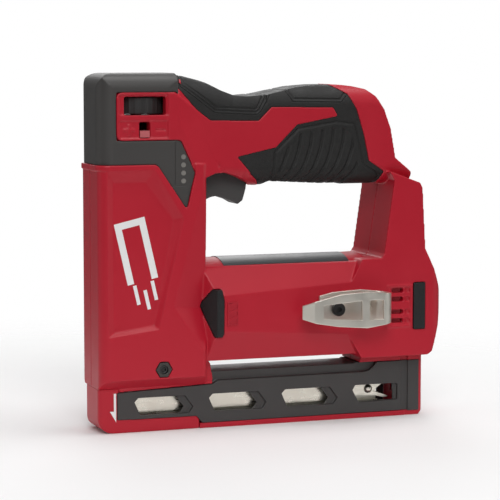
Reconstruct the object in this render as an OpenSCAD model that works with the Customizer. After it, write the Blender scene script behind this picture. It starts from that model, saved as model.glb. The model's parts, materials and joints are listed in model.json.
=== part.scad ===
// Cordless crown staple gun: a spring-driven striker in a front column, a geared motor in a
// barrel behind it, a battery bay at the tail, and a slide-out staple magazine below.
// X runs from the nose to the tail, Y across the tool, Z up. The origin is the centre of the
// staple outlet on the flat underside of the nose. All sizes are in millimetres.

/* [Overall] */
// Staple line to the front face of the nose
nose_front = 10.2; // [9:0.2:12]
// Front face to rear face of the striker column
column_depth = 62.2; // [60:1:76]
// Length of the finger gap between the column and the rear post
gap_length = 105; // [88:1:130]
// Front of the rear post to the rearmost point of the tail
tail_depth = 37.8; // [36:0.5:46]
// Height of the nose below the column shoulder
nose_height = 25; // [25:0.5:30]
// Clear height from the nose shoulder to the barrel
barrel_lift = 13.5; // [12:0.5:18]
// Height of the barrel's sides
barrel_height = 53.5; // [50:0.5:62]
// Height of the finger gap
gap_height = 44; // [37:1:54]
// Height of the grip at its crest
grip_height = 56.8; // [52:0.5:66]
// Top of the head above the crest of the grip
head_rise = 6.7; // [5:0.5:12]

/* [Widths] */
// Width of the black head cover
head_width = 38.4; // [36:0.4:44]
// Width of the column over its raised rim
column_width = 40; // [38:0.5:46]
// Width of the barrel
barrel_width = 47; // [45:0.5:56]
// Width of the rear post
post_width = 47; // [42:0.5:52]
// Width of the grip
grip_width = 36; // [32:0.5:40]
// Width of the magazine
magazine_width = 28; // [26:0.5:33]

/* [Shell] */
// Wall of the two housing halves
wall = 2.6; // [2:0.1:3.2]
// Thickness of the soft covers and the head cover
skin = 2.2; // [1.6:0.1:2.8]
// Gap between loose neighbouring pieces
seam = 0.2; // [0.15:0.05:0.4]
// Depth of the recessed panel in the column's sides
recess = 2.5; // [1:0.25:3]

/* [Staples] */
// Crown width of the staples
crown = 10.6; // [9:0.1:13]
// Thickness of the driver blade
blade = 1.3; // [1:0.1:1.6]
// Sheet thickness of the steel magazine rails
sheet = 1.2; // [0.9:0.1:1.5]
// Travel of the magazine drawer
drawer_travel = 95; // [60:1:110]
// Travel of the staple pusher
pusher_travel = 85; // [50:1:100]

/* [Drive] */
// Lift of the striker
stroke = 20; // [16:0.5:22]
// Pitch radius of the lifting pinion
pinion_r = 9; // [8:0.5:10]
// Teeth on the lifting pinion
pinion_teeth = 12; // [10:1:16]
// Radius of the motor can
motor_r = 14; // [12:0.25:15]
// Length of the motor can
motor_len = 38; // [30:1:40]
// Radius of the guide rods
rod_r = 2; // [1.5:0.25:2.5]
// Radial clearance of running fits
fit = 0.06; // [0.04:0.01:0.1]

/* [Controls] */
// Swing of the trigger in degrees
trigger_swing = 8; // [5:1:10]
// Radius of the depth wheel
wheel_r = 16.6; // [15:0.2:17]
// Ribs on the rim of the depth wheel
wheel_ribs = 30; // [18:2:40]
// Distance that the belt hook stands off the barrel
hook_gap = 10.6; // [8:0.2:14]

/* [Hidden] */
$fn = 64;
tiny = 0.01;
far = 400;

// Stations along the tool
x_front = -nose_front;
x_col = x_front + column_depth;
x_post = x_col + gap_length;
x_rear = x_post + tail_depth;
x_tail = x_post - 13.5;
x_bay = x_post - 27;
x_frame_end = x_rear - 22.3;
x_drawer_end = x_rear - 8.6;
x_block = x_front + 41;
x_motor = x_col + 26;
x_gearbox = x_col + 5;

// Levels above the base
z_nose = nose_height;
z_bar = z_nose + barrel_lift;
z_bar_top = z_bar + barrel_height;
z_crown = z_bar_top + 3.3;
z_grip = z_bar_top + gap_height;
z_crest = z_grip + grip_height;
z_top = z_crest + head_rise;
z_head = z_top - 50.2;
z_axis = z_bar + 28;
z_mag_top = z_nose + 6.7;
z_floor = 2.8;
z_panel_top = z_nose + 1.9;

// Half widths
hw_head = head_width / 2;
hw_col = column_width / 2;
hw_bar = barrel_width / 2;
hw_post = post_width / 2;
hw_panel = hw_head + 0.15;
hw_grip = grip_width / 2;
hw_mag = magazine_width / 2;
hw_nose = hw_mag - 0.4;
panel_t = 3;
cover_dip = 0.3;

// Edge radii of the shells
r_head = 8.5;
r_col = 6.5;
r_tail = 8;
r_nose = 3.2;

// Staple path
hw_staple = crown / 2;
hw_rail = hw_staple - 0.7;
hw_slot = hw_staple + 0.6;
hw_channel = hw_slot + sheet;
z_channel = z_nose - 7;
x_channel = blade / 2 + 0.3;
x_rail_end = x_frame_end - 12;

// Striker and lifting gear
carrier_z = z_axis + 14;
carrier_h = 11;
rod_x = 20;
rod_y = 10.6;
spring_x = 11;
spring_r = 7.4;
spring_wire = 1.5;
rod_top = z_head - 4.2;
bumper_h = 6;
pinion_x = 6;
pinion_w = 8;
shaft_r = 3;
bearing_r = 9;
case_r = motor_r + 1.5;
gear_module = 2 * pinion_r / pinion_teeth;
rack_pitch = PI * gear_module;

// Nose bolt
bolt_x = 26.2;
bolt_z = z_nose + 10.3;
bolt_r = 2.5;
nut_flats = 8;

// Depth wheel
wheel_x = 16.4;
wheel_z0 = z_top - 22.4;
wheel_z1 = z_top - 13.2;
spindle_r = 3;

// Trigger
pivot_x = x_col + 5.5;
pivot_z = z_grip + 10;
pin_r = 1.5;
hw_trigger = 7.4;
plunger_x = x_col + 20;
plunger_r = 2.4;
trigger_top = z_grip + 13.5;
switch_z = trigger_top + 6.5;

// Battery bay
bay_w = 37;
bay_h = 41;
bay_z = z_axis - 0.5;

// Belt hook
hook_x = x_post - 29.1;
hook_z = z_bar + 27;
hook_t = 1.8;
insert_r = 3.2;
insert_len = 7.5;
thread_r = 2;

// Housing screw places as [x, z], and the depth where each head sits
screw_r = 1.5;
screw_head_r = 3;
screw_seat = 9;
screw_places = [
  [x_col - 9, z_top - 18.5],
  [x_col + 33, z_crest - 14.4],
  [x_post - 8, z_grip + 24],
  [x_post + 15, z_bar_top + 24],
  [x_post - 5, z_bar + 2.6],
  [x_col + 14, z_bar_top - 2.4],
  [x_col + 10, z_bar + 4.8],
  [x_col - 8, z_grip - 3]
];

// Windows of the magazine: the left end of each, and its length
window_x = 10.8;
window_len = 34.3;
last_window_len = 28;
window_pitch = (x_frame_end - 2.3 - window_x - last_window_len) / 3;

// Lights of the gauge
light_pitch = 4.45;
light_r = 1.35;

// ---------- shared shapes ----------

// A side outline, [x, z] points, made a centred slab of width w
module slab(points, w) {
  rotate([90, 0, 0]) linear_extrude(w, center = true) polygon(points);
}

// A side outline made a slab from y0 to y1
module slab_between(points, y0, y1) {
  translate([0, y1, 0]) rotate([90, 0, 0]) linear_extrude(y1 - y0) polygon(points);
}

module box(x0, x1, y0, y1, z0, z1) {
  translate([x0, y0, z0]) cube([x1 - x0, y1 - y0, z1 - z0]);
}

module rod_x_axis(x0, x1, r, y = 0, z = 0) {
  translate([x0, y, z]) rotate([0, 90, 0]) cylinder(h = x1 - x0, r = r);
}

module rod_y_axis(y0, y1, r, x = 0, z = 0) {
  translate([x, y0, z]) rotate([-90, 0, 0]) cylinder(h = y1 - y0, r = r);
}

// A plan with round corners of radius rf at the front and rr at the rear
module round_plan(x0, x1, hw, rf, rr) {
  translate([x0 + rf, -hw]) square([x1 - x0 - rf - rr, 2 * hw]);
  translate([x0, -hw + rf]) square([x1 - x0 - rr, 2 * (hw - rf)]);
  translate([x0 + rf, -hw + rr]) square([x1 - x0 - rf, 2 * (hw - rr)]);
  for (s = [-1, 1]) {
    translate([x0 + rf, s * (hw - rf)]) circle(rf);
    translate([x1 - rr, s * (hw - rr)]) circle(rr);
  }
}

// A bar with a round-cornered section, along a side line from [x, z] to [x, z]
module round_bar(from, to, hw, h, r) {
  dx = to[0] - from[0];
  dz = to[1] - from[1];
  translate([from[0], 0, from[1]]) rotate([0, 90 - atan2(dz, dx), 0])
    linear_extrude(norm([dx, dz])) round_section(hw, h / 2, r);
}

module round_section(hw, hh, r) {
  square([2 * (hh - r), 2 * hw], center = true);
  square([2 * hh, 2 * (hw - r)], center = true);
  for (a = [-1, 1], b = [-1, 1]) translate([a * (hh - r), b * (hw - r)]) circle(r);
}

// Points of a circular arc about c, from angle a0 to a1
function arc(c, r, a0, a1, n) =
  [for (i = [0:n]) [c[0] + r * cos(a0 + (a1 - a0) * i / n), c[1] + r * sin(a0 + (a1 - a0) * i / n)]];

// A round wire wound on a vertical helix, closed flat at both ends
module coil(r, wire, height, turns, around = 14, sides = 7) {
  steps = around * turns;
  function centre(i) = let (a = 360 * i / around)
    [r * cos(a), r * sin(a), wire + (height - 2 * wire) * i / steps];
  points = [for (i = [0:steps], k = [0:sides - 1])
    let (a = 360 * i / around, b = 360 * k / sides, c = centre(i), q = r + wire * cos(b))
    [q * cos(a), q * sin(a), c[2] + wire * sin(b)]];
  faces = concat(
    [[for (k = [0:sides - 1]) k]],
    [for (i = [0:steps - 1], k = [0:sides - 1])
      let (n = (k + 1) % sides, a = i * sides, b = (i + 1) * sides)
        each [[a + k, b + k, b + n], [a + k, b + n, a + n]]],
    [[for (k = [sides - 1:-1:0]) steps * sides + k]]);
  polyhedron(points, faces, convexity = 10);
}

// A gear blank with straight-flanked teeth, thinned for backlash
module spur(r, teeth, m, width) {
  tip = r + 0.9 * m;
  root = r - 1.2 * m;
  half = 62 / teeth;
  linear_extrude(width) {
    circle(root + tiny);
    for (i = [0:teeth - 1]) rotate(360 * i / teeth)
      polygon([[root - 0.4, -half * root * PI / 180 * 1.35], [tip, -half * tip * PI / 180 * 0.5],
        [tip, half * tip * PI / 180 * 0.5], [root - 0.4, half * root * PI / 180 * 1.35]]);
  }
}

// ---------- outer forms of the housing ----------

// Side outline of the head cover, with its tongue on the column and the opening for the panel
cover_side = concat([
  [x_front - 1, z_head], [x_front + 32.2, z_head], [x_front + 34, z_head - 1.4],
  [x_front + 49.4, z_head - 24.2], [x_front + 50.6, z_head - 23.6], [x_front + 53.2, z_head - 12.2],
  [x_front + 55.1, z_head - 4.8], [x_front + 47, z_head + 12.5], [x_front + 45, z_head + 13.2]],
  arc([x_front + 13.2, z_head + 16.6], 3.4, 270, 180, 5),
  arc([x_front + 13.2, z_top - 13.6], 3.4, 180, 90, 5), [
  [x_front + 43.4, z_top - 10.2], [x_front + 45.8, z_top - 11.8],
  [x_front + 45.8, z_top + 1], [x_front - 1, z_top + 1]
]);

recess_rim = [
  [x_front + 3.5, z_head - 2.7], [x_front + 31.4, z_head - 2.7], [x_front + 48.1, z_head - 29.6],
  [x_front + 33.5, z_bar + 19.4], [x_front + 3.5, z_bar + 15.9]
];
recess_floor = [
  [x_front + 8.2, z_head - 9.6], [x_front + 26.7, z_head - 9.6], [x_front + 42.9, z_head - 31],
  [x_front + 31.3, z_bar + 21.7], [x_front + 8.2, z_bar + 18.4]
];

// Side outline of the grip, from the head over the crest to the rear post and back underneath
grip_side = concat(
  [[x_col - 24, z_top - 0.4], [x_col - 16.4, z_top - 0.4], [x_col - 12.6, z_top - 1.2],
   [x_col - 5, z_top - 2.4], [x_col + 2.4, z_top - 5.3], [x_col + 10, z_top - 9.5],
   [x_col + 17.6, z_top - 12.4], [x_col + 25.3, z_top - 12.9], [x_col + 38.2, z_top - 11.7],
   [x_col + 48.2, z_top - 9.6], [x_col + 56, z_top - 7.9]],
  [[x_post - 37.3, z_crest - 0.1], [x_post - 29.6, z_crest], [x_post - 21.6, z_crest - 0.5],
   [x_post - 15.2, z_crest - 1.3], [x_post - 8, z_crest - 3], [x_post - 2.5, z_crest - 7],
   [x_post + 2.4, z_crest - 14.5], [x_post + 6.5, z_crest - 25.6], [x_post + 9.5, z_grip + 14.4],
   [x_post + 19.5, z_grip + 6.5], [x_post + 21.4, z_grip + 4.5], [x_post + 21.4, z_grip - 3],
   [x_post + 6.3, z_grip - 1], [x_post + 1.7, z_grip - 1.2], [x_post - 3.9, z_grip - 2.3],
   [x_post - 39.8, z_grip + 0.3]],
  [[x_col + 38.3, z_grip + 2.1], [x_col + 36.7, z_grip + 1.3], [x_col + 34.4, z_grip - 1.5],
   [x_col + 31.3, z_grip - 2.9], [x_col + 28.2, z_grip - 1.8], [x_col + 26.8, z_grip + 1.4],
   [x_col + 19, z_grip + 5.5], [x_col + 11.3, z_grip + 8], [x_col + 5, z_grip + 7.4],
   [x_col - 1, z_grip + 5], [x_col - 24, z_grip - 1]]);

// Red stripe that stays bare between the top cover and the ribbed grips
stripe_side = [
  [x_col - 25, z_grip - 3], [x_col - 15.4, z_top - 13.4], [x_col - 18.9, z_top - 10.2],
  [x_col + 2.5, z_top - 26.3], [x_col + 30.9, z_top - 26.8], [x_col + 38.7, z_top - 19.2],
  [x_post - 29.2, z_crest - 13.1], [x_post - 26.5, z_crest - 17.6], [x_post - 27.3, z_crest - 18.3],
  [x_post - 50.9, z_crest - 22.6], [x_col + 41, z_grip + 21.5], [x_col + 17.5, z_grip + 16.5],
  [x_col + 18.3, z_grip + 13.3], [x_col + 30.4, z_grip + 3.8], [x_col + 38.5, z_grip - 6],
  [x_col - 25, z_grip - 6]
];

// Rear limit of the soft covers
grip_rear = [
  [x_col - 16.55, z_top + 2], [x_post - 28.9, z_top + 2], [x_post - 28.9, z_crest - 0.4],
  [x_post - 19.8, z_crest - 5.8], [x_post - 14.7, z_crest - 14.5], [x_post - 10.3, z_crest - 28.4],
  [x_post - 7, z_crest - 43.8], [x_post + 2.6, z_grip + 6.9], [x_post - 3, z_grip - 8],
  [x_col + 34, z_grip - 8], [x_col + 26, z_grip + 8], [x_col + 6, z_grip + 30],
  [x_col - 16.55, z_top - 8]
];

saddle_side = [
  [x_col - 16.2, z_top + 1], [x_col - 16.2, z_top - 3], [x_col - 14.6, z_top - 7.6],
  [x_col + 4.9, z_top - 22.1], [x_col + 29.8, z_top - 23.5], [x_col + 32, z_top - 22.1],
  [x_col + 38.3, z_top - 12.1], [x_col + 44, z_top - 9], [x_col + 44, z_top + 1]
];

crest_side = [
  [x_col + 48, z_crest + 2], [x_col + 48, z_crest - 4.2], [x_col + 51.5, z_crest - 9.7],
  [x_post - 24, z_crest - 10.3], [x_post - 19.2, z_crest - 5], [x_post - 19.2, z_crest + 2]
];

// The grip as overlapping round bars, shrunk by inset for what lies under its covers
module grip_form(inset = 0) {
  r = 12 - inset;
  hw = hw_grip - inset;
  intersection() {
    union() {
      round_bar([x_col - 24, z_top - 25.4], [x_col + 27, z_top - 38.4], hw, 53 - 2 * inset, r);
      round_bar([x_col + 8, z_grip + 27.5], [x_post - 30, z_grip + 27.5], hw, 55 - 2 * inset, r);
      round_bar([x_col + 36, z_crest - 28.5], [x_post - 4, z_crest - 28.5], hw, 57 - 2 * inset, r);
      round_bar([x_post - 21, z_crest - 29], [x_post + 20, z_crest - 29], hw, 57 - 2 * inset, r);
    }
    rotate([90, 0, 0]) linear_extrude(far, center = true) offset(delta = -inset) polygon(grip_side);
  }
}

// All space outside a slanting face through a point of the left side, which falls inwards by
// a for each millimetre to the rear and by b for each millimetre upwards
module outside(x, z, hw, a, b) {
  translate([x, -hw, z]) rotate([atan(-b * cos(atan(a))), 0, atan(a)])
    translate([-far / 2, -far, -far / 2]) cube(far);
}

module column_form() {
  difference() {
    union() {
      translate([0, 0, z_nose]) linear_extrude(z_head - z_nose)
        round_plan(x_front, x_col, hw_col, r_col, 3.5);
      // lip under the head cover
      translate([0, 0, z_head - 2.9]) linear_extrude(2.9)
        round_plan(x_front - 0.9, x_front + 20, hw_col, r_col, 3);
    }
    for (s = [-1, 1]) one_side(s) {
      // two long facets that fall away to the rear edge, meeting in a ridge
      intersection() {
        outside(x_front + 42, z_bar + 31.5, hw_col, 0.29, -0.0756);
        outside(x_front + 42, z_bar + 31.5, hw_col, 0.319, 0.221);
      }
      // chamfer at the foot
      translate([0, -hw_col, z_nose]) rotate([0, 90, 0])
        translate([0, 0, -40]) linear_extrude(160)
        polygon([[tiny, -1], [-5.4, -1], [-5.4, 0], [tiny, hw_col - hw_nose]]);
    }
  }
}

// Foot of the column behind the nose, and its skirts that reach down to the magazine's sides
module column_foot() {
  slab([[x_col - 6, z_nose], [x_col + 4.6, z_nose], [x_col + 5, z_nose + 3], [x_col + 3.5, z_nose + 11.6],
    [x_col, z_nose + 15.9], [x_col - 6, z_nose + 15.9]], 2 * hw_nose - 0.8);
  for (s = [-1, 1]) one_side(s) slab_between([
    [x_channel + 1, z_nose + 1], [x_channel + 1, z_nose - 2.1], [x_col + 4.6, z_panel_top - 1.9],
    [x_col + 4.6, z_nose + 1]], -hw_nose, -hw_mag + panel_t - 0.4);
}

// Leaves a left-hand shape in place for s = -1 and mirrors it to the right for s = 1
module one_side(s) {
  mirror([0, s > 0 ? 1 : 0, 0]) children();
}

module barrel_section() {
  translate([-hw_bar, z_bar]) square([2 * hw_bar, barrel_height - 0.4]);
  intersection() {
    translate([0, z_crown - 31.5]) circle(31.5);
    translate([-hw_bar + 8.5, z_bar_top - 6]) square([2 * hw_bar - 17, 12]);
  }
}

// A long chamfer of the barrel's left side, starting at a point of the side and tilted
module barrel_chamfer(x, z, tilt, section) {
  translate([x, -hw_bar, z]) rotate([0, -tilt, 0]) rotate([90, 0, 90])
    translate([0, 0, -60]) linear_extrude(240) polygon(section);
}

module barrel_form() {
  difference() {
    intersection() {
      translate([x_col - 7, 0, 0]) rotate([90, 0, 90]) linear_extrude(x_post - x_col) barrel_section();
      linear_extrude(far) polygon([
        [x_col - 7, -11], [x_col - 2.6, -13.6], [x_col + 4.5, -hw_bar], [x_post + 10, -hw_bar],
        [x_post + 10, hw_bar], [x_col + 4.5, hw_bar], [x_col - 2.6, 13.6], [x_col - 7, 11]]);
    }
    for (s = [-1, 1]) one_side(s) {
      barrel_chamfer(x_col + 15.5, z_bar + 37.5, 3.7, [[0, 0], [8.5, 15.2], [8.5, 50], [-30, 50], [-30, 0]]);
      barrel_chamfer(x_col + 15.5, z_bar + 16.5, -3.8, [[0, 0], [6, -16.5], [6, -50], [-30, -50], [-30, 0]]);
    }
  }
}

tail_side = [
  [x_tail, z_bar - 2.2], [x_rear - 9.8, z_bar - 2.2], [x_rear - 6.8, z_bar - 0.4],
  [x_rear - 2.2, z_bar + 14.6], [x_rear, z_bar + 27.5], [x_rear - 1.2, z_bar + 36.1],
  [x_rear - 5.7, z_bar + 47.8], [x_rear - 11.5, z_bar_top + 6], [x_rear - 13.5, z_grip - 2.8],
  [x_rear - 15, z_grip + 0.2], [x_rear - 21.6, z_grip + 2.6], [x_rear - 34.1, z_grip + 7],
  [x_post + 6.6, z_grip + 2], [x_post + 0.6, z_bar_top + 4], [x_post - 1, z_bar_top + 1.4],
  [x_tail + 0.3, z_bar_top + 1], [x_tail - 6.5, z_bar + 41.8], [x_tail - 8.1, z_bar + 11.3]
];

module tail_form() {
  intersection() {
    slab(tail_side, far);
    union() {
      translate([0, 0, z_bar - 5]) linear_extrude(z_bar_top + 2 - z_bar + 5)
        round_plan(x_tail - 10, x_rear, hw_post, 1, r_tail);
      translate([0, 0, z_bar_top]) linear_extrude(far)
        round_plan(x_tail - 10, x_rear, hw_post, 1, r_tail);
    }
  }
}

// The head as the crossing of its plan, side and front outlines, shrunk by inset
module head_form(inset = 0) {
  x0 = x_front + inset;
  z1 = z_top - inset;
  hw = hw_head - inset;
  r = r_head - inset;
  intersection() {
    translate([0, 0, z_head - 40]) linear_extrude(far) round_plan(x0, x_col, hw, r, 3);
    rotate([90, 0, 0]) linear_extrude(far, center = true) {
      translate([x0, z_head - 40]) square([far, z1 - r - z_head + 40]);
      translate([x0 + r, z_head - 40]) square([far, z1 - z_head + 40]);
      translate([x0 + r, z1 - r]) circle(r);
    }
    rotate([90, 0, 90]) translate([0, 0, x0]) linear_extrude(far)
      translate([0, z1 - 100]) round_section_upright(hw, 100, r);
  }
}

module round_section_upright(hw, hh, r) {
  square([2 * (hw - r), 2 * hh], center = true);
  square([2 * hw, 2 * (hh - r)], center = true);
  for (a = [-1, 1], b = [-1, 1]) translate([a * (hw - r), b * (hh - r)]) circle(r);
}

// The head cover, grown by grow for the room it needs in the housing
module cover_form(grow = 0) {
  difference() {
    intersection() {
      head_form(-grow);
      slab(cover_side, far);
    }
    head_form(skin + grow);
    // taper that brings the cover's rear end down to the grip
    for (s = [-1, 1]) one_side(s) intersection() {
      outside(x_front + 40.4, z_top, hw_head, 0.22 - grow * 0.2, 0);
      box(x_front + 38, x_col, -far, 0, z_top - 12, z_top + 2);
    }
  }
}

// Room outside the tongue, where the column's rim stands prouder than the cover
module cover_tongue() {
  for (s = [-1, 1]) one_side(s) slab_between([
    [x_front + 30, z_head], [x_front + 32.2, z_head], [x_front + 34, z_head - 1.4],
    [x_front + 49.4, z_head - 24.2], [x_front + 50.6, z_head - 23.6],
    [x_front + 53.2, z_head - 12.2], [x_front + 55.1, z_head - 4.8],
    [x_front + 55.1, z_head + 1], [x_front + 30, z_head + 1]], -hw_col - 2, -hw_head);
}

// Part of the housing inside the head cover
module head_core() {
  intersection() {
    head_form(skin + seam);
    box(x_front, x_col - 14, -hw_head, hw_head, z_head - 2, z_top);
  }
}

// Red panels that fill the opening in the side of the head cover, tapering into the grip
module head_panels() {
  difference() {
    slab(concat(
      [[x_front + 45.4, z_head + 13.5], [x_front + 47.3, z_head + 12.8], [x_front + 55.3, z_head - 4.6],
       [x_col - 1, z_grip + 5.2], [x_col + 5, z_grip + 7.6], [x_col + 8.4, z_grip + 8],
       [x_front + 58, z_top - 27], [x_front + 58, z_top - 21.4], [x_front + 43.5, z_top - 10.5]],
      arc([x_front + 13.2, z_top - 13.6], 3.2, 90, 180, 5),
      arc([x_front + 13.2, z_head + 16.6], 3.2, 180, 270, 5)), 2 * hw_panel);
    for (s = [-1, 1]) one_side(s) {
      intersection() {
        outside(x_front + 46.3, z_top - 27.1, hw_panel, 0.116, 0);
        outside(x_front + 46.3, z_top - 27.1, hw_panel, 0.116, 0.0515);
      }
      panel_pocket();
    }
  }
}

// Shallow pocket behind the panel's rim, with the ledge under the wheel, a plus and a minus
module panel_pocket() {
  difference() {
    box(x_front + 11.4, x_front + 39.6, -far, -hw_panel + 0.9, z_head + 14.5, z_top - 11.7);
    box(x_front + 11, x_front + 40, -hw_panel + 0.25, 0, wheel_z0 - 3.4, wheel_z0 - 0.5);
    box(x_front + 14.5, x_front + 20.3, -hw_panel + 0.4, 0, z_top - 31.5, z_top - 30.4);
    box(x_front + 16.9, x_front + 18, -hw_panel + 0.4, 0, z_top - 33.8, z_top - 28.1);
  }
  box(x_front + 31.9, x_front + 38.6, -far, -hw_panel + 1.6, z_top - 31.6, z_top - 30.5);
}

// ---------- hollows of the housing ----------

module column_hollow() {
  box(x_front + wall, x_block, -hw_col + recess + wall, hw_col - recess - wall,
    z_nose + 3.9, z_head - 0.6);
  box(x_front + wall, x_block, -hw_mag + panel_t + 0.2, hw_mag - panel_t - 0.2, z_nose - 1, z_nose + 4);
  box(x_front + 20, x_col - wall - 3, -10, 10, z_nose + 4, z_grip - 16);
  // room for the carriage of the depth indicator
  box(x_front + 15, x_front + 38.5, -11, 11, z_head - 0.7, z_top - 25);
}

module wheel_hollow() {
  translate([wheel_x, 0, wheel_z0 - 1]) cylinder(h = wheel_z1 - wheel_z0 + 2, r = wheel_r + 0.7);
  translate([wheel_x, 0, z_top - 26]) cylinder(h = wheel_z1 + 4.5 - z_top + 26, r = spindle_r + fit);
  // window for the thumb
  box(x_front + 14.6, x_front + 38.4, -far, far, wheel_z0 - 0.5, wheel_z1 + 0.4);
}

module indicator_slot() {
  box(wheel_x - 3.4, wheel_x + 2.7, -far, 0, z_top - 35.5, z_top - 26.7);
}

module drive_hollow() {
  rod_x_axis(x_gearbox - 14, x_gearbox + 0.1, bearing_r + 0.05, z = z_axis);
  rod_x_axis(x_gearbox, x_motor + 0.1, case_r + 0.1, z = z_axis);
  rod_x_axis(x_motor, x_motor + motor_len + 4, motor_r + 0.1, z = z_axis);
  rod_x_axis(x_motor + 5, x_motor + motor_len - 6, motor_r + 2.6, z = z_axis);
  // way for the leads from the motor to the terminals
  box(x_motor + motor_len + 3.9, x_bay - 5, -4, 4, z_axis - 6, z_axis + 6);
}

module bay_hollow() {
  translate([x_bay, 0, bay_z]) rotate([0, 90, 0])
    linear_extrude(far) round_section(bay_w / 2, bay_h / 2, 6);
  box(x_bay - 6, x_bay + 1, -9, 9, bay_z - 10, bay_z + 10);
}

module grip_hollow() {
  box(x_col - 3, x_post - 16, -11.5, 11.5, z_grip + 13.5, z_crest - 20);
  box(x_col + 0.6, x_col + 30.2, -hw_trigger - 0.5, hw_trigger + 0.5, z_grip - 20, z_grip + 18);
  rod_y_axis(-hw_trigger - 3, hw_trigger + 3, pin_r, pivot_x, pivot_z);
}

// Slots for the air, each with a shallow end behind an upright bar
module vents() {
  for (z = [17.3, 22.4, 29.6, 34.7]) {
    box(x_post + 5, x_post + 12.4, -far, far, z_bar + z, z_bar + z + 2.6);
    for (s = [-1, 1]) one_side(s)
      box(x_post + 13.3, x_post + 16.4, -far, -hw_post + 1, z_bar + z, z_bar + z + 2.6);
  }
}

module screw_holes() {
  for (p = screw_places) {
    rod_y_axis(-12.2, far, screw_r + 0.1, p[0], p[1]);
    rod_y_axis(screw_seat, far, screw_head_r + 0.3, p[0], p[1]);
  }
  rod_y_axis(-far, far, bolt_r + 0.15, bolt_x, bolt_z);
  // hexagonal pocket for the nut, round pocket for the bolt's head
  translate([bolt_x, 0, bolt_z]) rotate([90, 0, 0])
    translate([0, 0, hw_col - 3.6]) cylinder(h = 20, r = (nut_flats / 2 + 0.35) / cos(30), $fn = 6);
  rod_y_axis(hw_col - 3.6, far, 5, bolt_x, bolt_z);
  for (s = [-1, 1]) one_side(s)
    rod_y_axis(-far, -hw_bar + insert_len, insert_r, hook_x, hook_z);
}

module bumper_front(grow = 0) {
  intersection() {
    slab_between([
    [x_col - 2.9 - grow, z_bar + 31.4], [x_col + 2.5, z_bar + 40.5 + grow],
    [x_col + 7.2, z_bar + 40.5 + grow], [x_col + 8.4 + grow, z_bar + 34.3],
    [x_col + 8.2 + grow, z_bar + 15.6], [x_col + 7.2, z_bar + 13.8 - grow],
    [x_col + 3.3, z_bar + 13.8 - grow]], -far, -4);
    linear_extrude(far) polygon([
      [x_col - 3.6, -13.4 - grow * 90], [x_col - 2.4, -14.6 - grow * 90], [x_col + 4.2, -hw_bar - 0.5 - grow * 90],
      [x_col + 12, -hw_bar - 0.5 - grow * 90], [x_col + 12, -hw_bar + 5], [x_col + 3, -hw_bar + 5],
      [x_col - 3.6, -10]]);
  }
}

module bumper_rear(grow = 0) {
  slab_between([
    [x_post + 18.8 - grow, z_bar + 13.2 - grow], [x_post + 26 + grow, z_bar + 13.2 - grow],
    [x_post + 26 + grow, z_bar + 40 + grow], [x_post + 18.8 - grow, z_bar + 40 + grow]],
    -hw_post - 0.6 - grow * 9, -hw_post + 2.6);
}

module bumper_pockets() {
  for (s = [-1, 1]) one_side(s) {
    bumper_front(0.15);
    bumper_rear(0.15);
  }
}

module grip_pockets() {
  difference() {
    intersection() {
      grip_form(0);
      slab(grip_rear, far);
    }
    grip_form(skin);
    slab(stripe_side, far);
  }
}

// Raised frames round the air slots
module vent_frames() {
  for (s = [-1, 1]) one_side(s) difference() {
    box(x_post + 2.6, x_post + 17.8, -hw_post - 0.5, -hw_post + 1, z_bar + 14.8, z_bar + 39);
    box(x_post + 3.4, x_post + 17, -far, -hw_post, z_bar + 15.6, z_bar + 38.2);
  }
}

// Foot of the tail that holds the magazine frame
module magazine_foot() {
  slab([[x_tail + 4, z_bar + 1], [x_tail + 3, z_panel_top + 5.4],
    [x_frame_end - 0.2, z_panel_top + 5.4], [x_frame_end - 0.2, z_bar + 1]], 2 * hw_nose);
}

// The outside of the housing, without the head cover's room
module housing_body() {
  difference() {
    union() {
      column_form();
      barrel_form();
      tail_form();
      column_foot();
      head_core();
      head_panels();
      grip_form(0);
      magazine_foot();
      vent_frames();
    }
    for (s = [-1, 1]) one_side(s) hull() {
      slab_between(recess_rim, -hw_col - 1, -hw_col);
      slab_between(recess_floor, -hw_col - 1, -hw_col + recess);
    }
    cover_form(seam);
    cover_tongue();
  }
}

module housing() {
  difference() {
    housing_body();
    grip_pockets();
    column_hollow();
    wheel_hollow();
    drive_hollow();
    bay_hollow();
    grip_hollow();
    vents();
    bumper_pockets();
    // bed that lets the belt hook's plate lie flat across the joint of barrel and tail
    for (s = [-1, 1]) one_side(s)
      box(x_tail - 10, x_post + 1.4, -far, -hw_bar - tiny, hook_z - 10.8, hook_z + 11.4);
  }
}

// One half of the housing, cut at the middle plane; -1 is the left half
module half_housing(side) {
  difference() {
    one_side(-side) intersection() {
      housing();
      box(-far / 2, far, 0, far, -far / 2, far);
    }
    screw_holes();
    if (side < 0) indicator_slot();
  }
}

module left_housing() {
  color("firebrick") half_housing(-1);
}

module right_housing() {
  color("firebrick") half_housing(1);
}

// ---------- covers and trim ----------

module head_cover() {
  color("dimgray") difference() {
    cover_form();
    // thumb window reaches both sides through the red panels
    box(x_front + 10, x_front + 45, -far, far, z_head + 13.4, z_top - 10.4);
    slab_between(gauge_side, -hw_head - 1, -hw_head + 0.6);
  }
}

module soft_cover(points, side) {
  color([0.2, 0.2, 0.2]) intersection() {
    difference() {
      grip_form(cover_dip);
      grip_form(skin);
    }
    slab(points, far);
    slab(grip_rear, far);
    if (side != 0) box(-far / 2, far, side < 0 ? -far / 2 : 0, side < 0 ? 0 : far / 2, 0, far);
  }
}

module grip_saddle() {
  soft_cover(saddle_side, 0);
}

module crest_pad() {
  soft_cover(crest_side, 0);
}

module side_grip(side) {
  difference() {
    soft_cover([[x_col - 16.2, z_top + 2], [x_post + 8, z_top + 2], [x_post + 8, z_grip - 8],
      [x_col - 16.2, z_grip - 8]], side);
    slab(saddle_side, far);
    slab(crest_side, far);
    slab(stripe_side, far);
    cover_form(seam);
  }
}

module left_grip() {
  side_grip(-1);
}

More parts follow.
